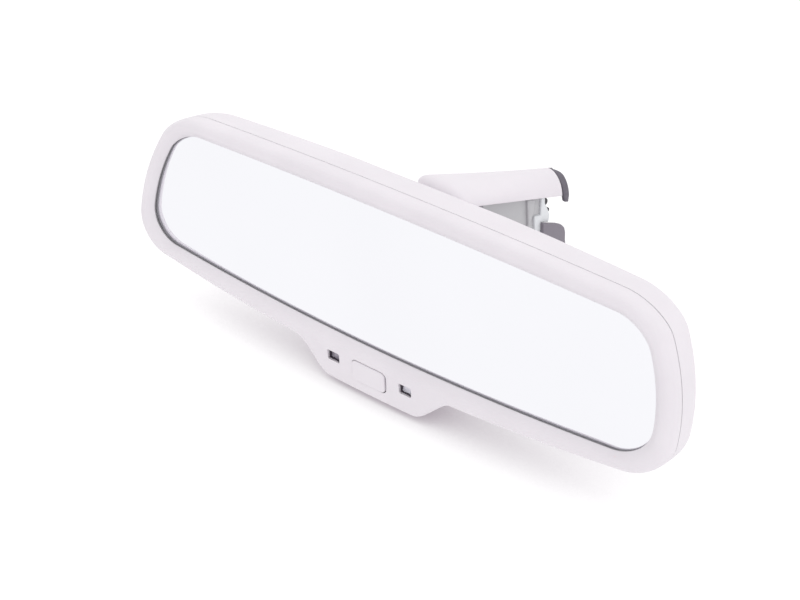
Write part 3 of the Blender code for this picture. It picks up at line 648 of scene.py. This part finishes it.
def slab(amount, front, back, round_off, name):
    """A plate with the head's outline and slightly rounded rims."""
    rings = []
    for mix_shift, depth in ((-0.08, front), (0.0, front + round_off), (0.0, back - round_off),
                             (-0.08, back)):
        outline = full_outline(mixed(amount + mix_shift * round_off * 4))
        rings.append([(p.x, depth, p.y) for p in outline])
    return skin(rings, HEAD, name, False)


# Head pieces ----------------------------------------------------------------------------
def make_bezel():
    section = smooth_path([Vector(s) for s in BEZEL_FACE], 5) + [Vector(s) for s in BEZEL_INSIDE]
    rings = []
    for amount, depth, share, chin_depth in section:
        ring = []
        for p in full_outline(mixed(amount)):
            chin = chin_at(p)
            ring.append((p.x, depth + (chin_depth - depth) * chin, p.y - CHIN_DROP * share * chin))
        rings.append(ring)
    mesh = skin(rings, HEAD, "bezel_shell", True, 50.0)
    half_x, half_z = BUTTON_SIZE[0] / 2, BUTTON_SIZE[1] / 2
    tools = [box((-half_x - BUTTON_GAP[0], -6, BUTTON_Z - half_z - BUTTON_GAP[0]),
                 (half_x + BUTTON_GAP[1], 4, BUTTON_Z + half_z + BUTTON_GAP[2]), HEAD, 2.3)]
    for side in (-1, 1):
        x = side * WINDOW_X
        tools.append(box((x - WINDOW_SIZE[0] / 2, -6, WINDOW_Z - WINDOW_SIZE[1] / 2),
                         (x + WINDOW_SIZE[0] / 2, 4, WINDOW_Z + WINDOW_SIZE[1] / 2), HEAD, 0.6))
    mesh = reshade(carve(mesh, tools, "bezel_shell"), 50.0)
    add_piece("bezel_shell", mesh, "head", "shell", ["bezel"])


def housing_point(p, inset, depth, share, relief):
    """A point of the back shell, drawn in from the parting outline towards the spine."""
    if p.y > 0:
        depth -= relief * fade(p.x, RELIEF_FLAT, RELIEF_WIDE)
    spine_x = max(-SPINE_HALF, min(SPINE_HALF, p.x * SPINE_HALF / PARTING.half_width))
    pull = inset / SPINE_DEPTH
    x = p.x + (spine_x - p.x) * pull
    thin = 1 - END_THINNING * (x / PARTING.half_width) ** 2
    start = PARTING_DEPTH + PARTING_GAP
    return (x, start + (depth - start) * thin, p.y * (1 - pull) - CHIN_DROP * share * chin_at(p))


def close_slot(bm, loop):
    """Fills a long narrow loop with triangles between its upper and its lower edge."""
    count = len(loop)
    right = max(range(count), key=lambda i: loop[i].co.x)
    left = min(range(count), key=lambda i: loop[i].co.x)
    upper = [loop[i % count] for i in range(left, count + right + 1)]
    lower = [loop[i] for i in range(left, right - 1, -1)]
    i = j = 0
    while i + 1 < len(upper) or j + 1 < len(lower):
        ahead_above = i + 1 < len(upper) and (j + 1 == len(lower)
                                              or upper[i + 1].co.x < lower[j + 1].co.x)
        corners = (upper[i], upper[i + 1] if ahead_above else lower[j + 1], lower[j])
        if len(set(corners)) == 3:
            bm.faces.new(corners)
        if ahead_above:
            i += 1
        else:
            j += 1


def make_housing():
    stations = [Vector((0.08, PARTING_DEPTH + PARTING_GAP, 1.0, 0.0))]
    stations += smooth_path([Vector(s) for s in HOUSING_SKIN], 5)
    outline = full_outline(PARTING)
    bm = bmesh.new()
    loops = [[bm.verts.new(housing_point(p, *s)) for p in outline] for s in stations]
    for a, b in zip(loops, loops[1:]):
        for i in range(len(a)):
            j = (i + 1) % len(a)
            bm.faces.new((a[i], b[i], b[j], a[j]))
    close_slot(bm, loops[-1])
    obj = solid_of(finish_mesh(bm, "housing_shell", HEAD))
    wall = obj.modifiers.new("wall", "SOLIDIFY")
    wall.thickness = WALL * MM
    wall.offset = -1.0
    wall.use_even_offset = True
    mesh = baked(obj, "housing_shell")
    ball = (BALL_IN_HEAD.x, BALL_IN_HEAD.z)
    tools = [rod(BALL_OPENING, 20, 40, ball, HEAD, 128),
             rod(REAR_WINDOW_HOLE, 18, 40, REAR_WINDOW, HEAD, 48)]
    mesh = reshade(carve(mesh, tools, "housing_shell"), 40.0)
    add_piece("housing_shell", mesh, "head", "shell", ["rear_housing"])


def make_glass():
    """The cell stands close behind the lip, so only a thin line of gasket shows."""
    front, back = GASKET_Y
    gasket = []
    for amount, depth in ((0.012, front), (-0.002, front + 0.08), (-0.002, back - 0.08),
                          (0.01, back), (0.26, back), (0.26, front)):
        gasket.append([(p.x, depth, p.y) for p in full_outline(mixed(amount))])
    add_piece("gasket_rim", skin(gasket, HEAD, "gasket_rim", True), "head", "gasket",
              ["glass_gasket"])
    for name, amount, front, back, mat, node in (
            ("front_glass", GLASS_REACH, *FRONT_GLASS_Y, "glass", "glass_front"),
            ("gel_layer", GEL_REACH, *GEL_Y, "gel", "cell_gel"),
            ("mirror_glass", GLASS_REACH, *REAR_GLASS_Y, "mirror", "glass_rear")):
        add_piece(name, slab(amount, front, back, 0.12, name), "head", mat, [node])


def make_button():
    half_x, half_z = BUTTON_SIZE[0] / 2, BUTTON_SIZE[1] / 2
    mesh = box((-half_x, BUTTON_FRONT, BUTTON_Z - half_z), (half_x, BUTTON_BACK, BUTTON_Z + half_z),
               Matrix.Identity(4), 2.0, segments=10)
    for vert in mesh.vertices:
        if vert.co.y < BUTTON_BACK / 2:
            vert.co.y += (vert.co.z - BUTTON_Z) * FACE_SLOPE
    mesh.transform(HEAD)
    add_piece("button_cap", bevelled(mesh, 0.6, 6, 40.0), "button", "button",
              ["dimming_button"])


def make_windows():
    """Two panes, each at the bottom of a dark sleeve."""
    for label, side, node, mat in (("sensor", 1, "sensor_window", "milky"),
                                   ("lamp", -1, "lamp_window", "smoky")):
        x = side * WINDOW_X
        half_x, half_z = WINDOW_SIZE[0] / 2, WINDOW_SIZE[1] / 2
        rings = []
        for inset, depth, slope in (
                (PANE_PLAY, SLEEVE_FRONT, FACE_SLOPE), (PANE_PLAY, SLEEVE_BACK, 0.0),
                (SLEEVE_WALL, SLEEVE_BACK, 0.0), (SLEEVE_WALL, SLEEVE_FRONT, FACE_SLOPE)):
            rings.append([(x + px, depth + pz * slope, WINDOW_Z + pz)
                          for px, pz in rounded(half_x - inset, half_z - inset, 0.5)])
        add_piece(label + "_sleeve", skin(rings, HEAD, "sleeve", True), "head", "sleeve")
        half_x, half_z = half_x - SLEEVE_WALL - PANE_PLAY, half_z - SLEEVE_WALL - PANE_PLAY
        mesh = box((x - half_x, PANE_Y[0], WINDOW_Z - half_z),
                   (x + half_x, PANE_Y[1], WINDOW_Z + half_z), HEAD, 0.4)
        add_piece(label + "_pane", bevelled(mesh, 0.12, 2, 40.0), "head", mat, [node])


def make_socket():
    ball_in_row = HEAD @ Matrix.Translation(BALL_IN_HEAD)
    depths = [-1.0 + 5.7 * i / 12 for i in range(13)]
    seat = [(math.sqrt(SEAT_RADIUS ** 2 - d ** 2), d) for d in depths]
    profile = [(13.2, 4.9), (13.55, 4.7), (13.7, 4.3), (13.7, -1.0)]
    profile += seat + [(12.0, 4.75), (12.4, 4.9)]
    add_piece("collar", turned(profile, ball_in_row, 128, 50.0), "head", "shell", ["socket_ring"])
    for name, body, inner, outer, mat, node in (
            ("liner_shell", "liner", *LINER_RADII, "acetal", "ball_liner"),
            ("cup_shell", "cup", *CUP_RADII, "dark", "socket_cup")):
        profile = []
        for radius, from_opening in ((outer, True), (inner, False)):
            hole = 180 - math.degrees(math.asin(SHELL_FRONT_HOLE / radius))
            first, last = (SHELL_OPENING, hole) if from_opening else (hole, SHELL_OPENING)
            for i in range(25):
                angle = math.radians(first + (last - first) * i / 24)
                profile.append((radius * math.sin(angle), radius * math.cos(angle)))
        add_piece(name, turned(profile, ball_in_row, 96, 50.0), body, mat, [node])
    lens = [(0.0, 23.8), (3.6, 23.8), (3.6, 26.2), (3.4, 26.55), (2.8, 26.9), (1.8, 27.15),
            (0.8, 27.27), (0.0, 27.3)]
    place = HEAD @ Matrix.Translation((REAR_WINDOW[0], 0, REAR_WINDOW[1]))
    add_piece("rear_lens", turned(lens, place, 48, 50.0), "head", "clear", ["rear_sensor_window"])


# Stem -----------------------------------------------------------------------------------
def cover_size(along):
    """The cover's half width and rise at a station, rounded off over the nose."""
    t = (along - COVER_NOSE) / (COVER_END - COVER_NOSE)
    q = min(max((along - COVER_NOSE) / COVER_NOSE_LENGTH, 0.0), 1.0)
    nose = (1 - (1 - q) ** 2.2) ** (1 / 2.2)
    width = COVER_HALF_WIDTH[0] + (COVER_HALF_WIDTH[1] - COVER_HALF_WIDTH[0]) * t
    rise = COVER_RISE[0] + (COVER_RISE[1] - COVER_RISE[0]) * t
    return width * nose, rise * nose


def arch(half_width, rise, along, base, lean=0.0, count=40):
    points = []
    for i in range(count + 1):
        angle = math.pi * i / count
        height = rise * math.sin(angle)
        points.append((half_width * math.cos(angle), along + lean * (rise - height),
                       base + height))
    return points


def make_cover():
    stations = [COVER_NOSE + COVER_NOSE_LENGTH * (1 - math.cos(math.radians(a)))
                for a in (6, 12, 20, 30, 40, 50, 60, 70, 80, 90)]
    stations += [stations[-1] + (COVER_END - stations[-1]) * i / 24 for i in range(1, 25)]
    sections = []
    for along in stations:
        width, rise = cover_size(along)
        wall = min(COVER_WALL, width * 0.45, rise * 0.45)
        lean = COVER_LEAN * max(0.0, (along - LEAN_START) / (COVER_END - LEAN_START))
        sections.append(arch(width, rise, along - lean * rise, COVER_BOTTOM, lean)
                        + list(reversed(arch(width - wall, rise - wall,
                                             along - lean * (rise - wall), COVER_BOTTOM, lean))))
    mesh = bevelled(skin(sections, STEM, "cover_shell", False), 0.4, 3, 50.0)
    add_piece("cover_shell", mesh, "stem", "shell", ["stem_cover"])


def make_seal():
    """A crescent of rubber on the cover's end, thin at the top, ending in two tips."""
    width, rise = cover_size(COVER_END)
    width -= 0.05
    count = 40
    end = COVER_END + GAP
    side = []
    for i in range(7):
        t = 1 - i / 6
        side.append((width, COVER_BOTTOM - SEAL_DROP * t, end + SEAL_SET_BACK + SEAL_TIP[0] * t,
                     SEAL_DEPTH - SEAL_TIP[1] * t, 0.0))
    path = list(side)
    for i in range(1, count):
        angle = math.pi * i / count
        up = math.sin(angle)
        steep = max(0.0, (90 - abs(90 - math.degrees(angle)) - 55) / 35)
        path.append((width * math.cos(angle), COVER_BOTTOM + rise * up,
                     end - COVER_LEAN * rise * up + SEAL_SET_BACK * (1 - up),
                     (SEAL_DEPTH + 0.7 * up) * (1 - 0.75 * steep ** 2), up))
    path += [(-x, h, along, deep, 0.0) for x, h, along, deep, _ in reversed(side)]
    rings = []
    for x, h, along, deep, up in path:
        inner_x, inner_h = x * (1 - SEAL_WALL / width), h - SEAL_WALL * up
        rings.append([(x, along, h), (x, along + deep, h), (inner_x, along + deep, inner_h),
                      (inner_x, along, inner_h)])
    mesh = bevelled(skin(rings, STEM, "seal_trim", False), 0.35, 3, 50.0)
    add_piece("seal_trim", mesh, "stem", "rubber", ["end_seal"])


def make_web():
    """The channel under the cover: a smooth wall, a raised gusset at its end and a boss."""
    body = prism([(15.3, -8.0), (15.3, 14.0), (20.0, 24.6), (46.2, 24.6), (46.2, -2.0),
                  (31.0, -8.0)], WEB_HALF_WIDTH, STEM)
    gusset = prism([(41.2, 24.4), (45.6, 24.4), (46.4, 20.0), (46.4, 0.0), (45.2, 0.0),
                    (45.2, 14.0)], GUSSET_HALF_WIDTH, STEM)
    body = carve(body, [bevelled(gusset, 0.5, 3)], "web", "UNION")
    body = carve(body, [box((-4.0, 31.5, -12.0), (4.0, 44.5, 22.6), STEM),
                        box((-4.0, 17.5, 8.2), (4.0, 33.0, 22.6), STEM),
                        rod(5.2, 14.0, 29.4, (0, 0), STEM, 64),
                        rod(2.0, 29.0, 33.0, (0, 0), STEM, 32)], "web")
    # The web's mid grey is painted shade.
    add_piece("web", bevelled(body, 0.3, 2, 50.0), "stem", "web", ["stem_body"])


def make_bracket():
    """Two slanted cheeks with feet on a narrower core, and the pins that hold them."""
    cheeks = prism([(49.4, 25.0), (51.5, 25.0), (52.4, 22.4), (54.9, 19.8), (56.8, 17.2),
                    (57.0, 14.2), (54.2, 14.2), (54.2, 9.3), (52.6, 9.0), (52.6, -7.9),
                    (51.2, -6.6), (51.2, 9.0), (50.3, 11.5), (48.4, 16.0), (48.3, 17.0),
                    (51.6, 17.3)], CHEEK_HALF_WIDTH, STEM)
    cheeks = bevelled(cheeks, 0.4, 3)
    core = prism([(46.7, 25.0), (51.0, 25.0), (51.9, 22.0), (51.9, -7.3), (46.7, -2.2)],
                 CORE_HALF_WIDTH, STEM)
    bores = [rod(1.7, 44.0, 60.0, (0, height), STEM) for height in SHOE_SCREWS]
    mesh = carve(cheeks, [bevelled(core, 0.3, 2)] + bores, "bracket_cheeks")
    add_piece("bracket_cheeks", reshade(mesh, 40.0), "stem", "bracket", ["mount_bracket"])
    # The core's mid grey is painted shade.
    mesh = carve(bevelled(core.copy(), 0.3, 2), bores, "bracket_core")
    add_piece("bracket_core", reshade(mesh, 40.0), "stem", "web")
    for name, along, height, radius in (("pin_upper", 52.5, 22.7, 1.75),
                                        ("pin_lower", 55.4, 19.3, 0.95)):
        place = STEM @ Matrix.Translation((0, along, height))
        turn = place @ Matrix.Rotation(math.pi / 2, 4, "Z")
        profile = ((0, -6.2), (radius * 0.6, -6.2), (radius, -5.8), (radius, 5.8),
                   (radius * 0.6, 6.2), (0, 6.2))
        add_piece(name, turned(profile, turn, 40), "stem", "dark")


def make_shoe():
    """The clip foot: two cheeks beside the bracket, and a pocket for the windshield button."""
    shoe = prism([(52.2, 14.5), (60.4, 14.0), (63.4, 13.4), (65.3, 12.2), (66.5, 10.2),
                  (67.6, 6.8), (81.4, -18.8), (80.9, -19.0), (68.0, -19.0), (54.4, -8.6),
                  (54.4, 8.0)], SHOE_HALF_WIDTH, STEM)
    shoe = bevelled(shoe, 0.7, 4)
    (top_along, top_height), (low_along, low_height) = SHOE_FACE
    slope = math.atan2(low_along - top_along, top_height - low_height)
    face = (STEM @ Matrix.Translation((0, top_along, top_height))
            @ Matrix.Rotation(slope, 4, "X"))
    tools = [box((-6.9, 44.0, 8.8), (6.9, 75.0, 20.0), STEM),
             box((-6.9, 44.0, -12.0), (6.9, 52.9, 20.0), STEM),
             box((-6.2, -5.0, -40.0), (6.2, 6.0, -6.0), face, 1.0),
             *(rod(1.9, 48.0, 72.0, (0, height), STEM) for height in SHOE_SCREWS)]
    add_piece("shoe_shell", reshade(carve(shoe, tools, "shoe_shell"), 40.0), "stem", "shoe",
              ["mount_shoe"])


def make_stud():
    """The ball with its neck and flange, bored through for the cable."""
    start = 180 - math.degrees(math.asin(BORE_RADIUS / BALL_RADIUS))
    stop = math.degrees(math.asin(NECK_RADIUS / BALL_RADIUS))
    angles = [math.radians(start + (stop - start) * i / 30) for i in range(31)]
    profile = [(BALL_RADIUS * math.sin(a), BALL_RADIUS * math.cos(a)) for a in angles]
    profile += [(NECK_RADIUS, 12.6), (4.9, 13.1), (6.9, 13.4), (7.4, 13.8), (7.4, 14.7), (7.1, 15.0),
                (4.9, 15.0), (4.9, 29.0), (BORE_RADIUS, 29.0)]
    add_piece("stud", turned(profile, STEM, 96, 40.0), "stem", "metal", ["ball_stud"])


# Carried-over nodes ----------------------------------------------------------------------
CARRIED = {
    "foam": ["foam_pad"],
    "copper": ["bus_clip_top", "bus_clip_bottom"],
    "acetal": ["carrier_plate", "board_connector", "switch_plunger"],
    "steel": ["carrier_screw_1", "carrier_screw_2", "carrier_screw_3", "carrier_screw_4",
              "socket_spring", "leaf_spring", "shoe_screw_1", "shoe_screw_2"],
    "board": ["circuit_board"],
    "dark": ["control_chip", "glare_sensor", "ambient_sensor", "switch_body",
             "harness_connector"],
    "clear": ["status_lamp"],
    "cable": ["head_cable", "stem_cable"],
}


def paint_carried():
    for mat, names in CARRIED.items():
        for name in names:
            mesh = frame["nodes"][name].data
            mesh.materials.clear()
            mesh.materials.append(MATERIALS[mat])


# Stage ----------------------------------------------------------------------------------
def make_floor():
    """A pale floor that glows, with a painted shadow where ambient occlusion dims its glow near the
    object; evenly lit in reflections; its underside lets the view through.
    """
    bm = bmesh.new()
    bmesh.ops.create_grid(bm, x_segments=1, y_segments=1, size=3000)
    place = HEAD @ Matrix.Translation(FLOOR_POINT) @ Matrix.Rotation(FLOOR_LEAN, 4, "X")
    floor = bpy.data.objects.new("floor", finish_mesh(bm, "floor", place))
    bpy.context.scene.collection.objects.link(floor)
    n = Nodes("floor")
    n.put(n.ramp(n.noise(3.0, 2.0), (0.25, 0.24, 0.25), (0.27, 0.26, 0.27)), "Base Color")
    # Painted shadow: the floor's glow is darkened by ambient occlusion near the object.
    shade = n.add("ShaderNodeAmbientOcclusion", samples=12)
    shade.inputs["Distance"].default_value = FLOOR_PAINTED_SHADOW_REACH * MM
    n.put(n.ramp(shade.outputs["AO"], *FLOOR_PAINTED_SHADOW, 0.2, 0.66), "Emission Color")
    n.set("Emission Strength", 1.0)
    n.set("Roughness", 0.9)
    n.set("Specular IOR Level", 0.1)
    even = n.add("ShaderNodeEmission")
    even.inputs["Color"].default_value = (*EVEN_LIGHT, 1.0)
    rays = n.add("ShaderNodeLightPath")
    reflected = n.add("ShaderNodeMixShader")
    n.link(rays.outputs["Is Glossy Ray"], reflected.inputs["Fac"])
    n.link(n.shader.outputs["BSDF"], reflected.inputs[1])
    n.link(even.outputs["Emission"], reflected.inputs[2])
    clear = n.add("ShaderNodeBsdfTransparent")
    side = n.add("ShaderNodeNewGeometry")
    mix = n.add("ShaderNodeMixShader")
    n.link(side.outputs["Backfacing"], mix.inputs["Fac"])
    n.link(reflected.outputs["Shader"], mix.inputs[1])
    n.link(clear.outputs["BSDF"], mix.inputs[2])
    n.link(mix.outputs["Shader"], n.tree.nodes["Material Output"].inputs["Surface"])
    floor.data.materials.append(n.material)


def make_lights():
    """Two soft lights and a world that is a little brighter on one side."""
    world = bpy.data.worlds.new("studio")
    bpy.context.scene.world = world
    world.use_nodes = True
    tree = world.node_tree
    sky = tree.nodes["Background"]
    sky.inputs["Color"].default_value = (*EVEN_LIGHT, 1.0)
    coords = tree.nodes.new("ShaderNodeTexCoord")
    towards = tree.nodes.new("ShaderNodeVectorMath")
    towards.operation = "DOT_PRODUCT"
    towards.inputs[1].default_value = WORLD_BRIGHT_SIDE
    tree.links.new(coords.outputs["Generated"], towards.inputs[0])
    strength = tree.nodes.new("ShaderNodeMapRange")
    strength.inputs["From Min"].default_value = -1.0
    strength.inputs["To Min"].default_value = WORLD_STRENGTH[0]
    strength.inputs["To Max"].default_value = WORLD_STRENGTH[1]
    tree.links.new(towards.outputs["Value"], strength.inputs["Value"])
    rays = tree.nodes.new("ShaderNodeLightPath")
    only_diffuse = tree.nodes.new("ShaderNodeMix")
    only_diffuse.inputs["A"].default_value = 1.0
    tree.links.new(rays.outputs["Is Diffuse Ray"], only_diffuse.inputs["Factor"])
    tree.links.new(strength.outputs["Result"], only_diffuse.inputs["B"])
    tree.links.new(only_diffuse.outputs["Result"], sky.inputs["Strength"])
    centre = HEAD @ LIGHT_TARGET
    for name, place, size, power in LIGHTS:
        light = bpy.data.lights.new(name, "AREA")
        light.energy = power
        light.size = size * MM
        lamp = bpy.data.objects.new(name, light)
        lamp.location = HEAD @ Vector(place)
        lamp.rotation_euler = (centre - lamp.location).to_track_quat("-Z", "Y").to_euler()
        bpy.context.scene.collection.objects.link(lamp)


def make_camera():
    camera = bpy.data.cameras.new("camera")
    camera.lens = CAMERA_LENS
    camera.sensor_width = 36.0
    camera.clip_start = 0.01
    obj = bpy.data.objects.new("camera", camera)
    back = CAMERA_RIGHT.cross(CAMERA_UP)
    turn = Matrix((CAMERA_RIGHT, CAMERA_UP, back)).transposed()
    obj.matrix_world = Matrix.Translation(HEAD @ CAMERA_PLACE) @ turn.to_4x4()
    bpy.context.scene.collection.objects.link(obj)
    bpy.context.scene.camera = obj
    bpy.context.scene.view_settings.view_transform = "Standard"


make_bezel()
make_housing()
make_glass()
make_button()
make_windows()
make_socket()
make_cover()
make_seal()
make_web()
make_bracket()
make_shoe()
make_stud()
paint_carried()
make_floor()
make_lights()
make_camera()
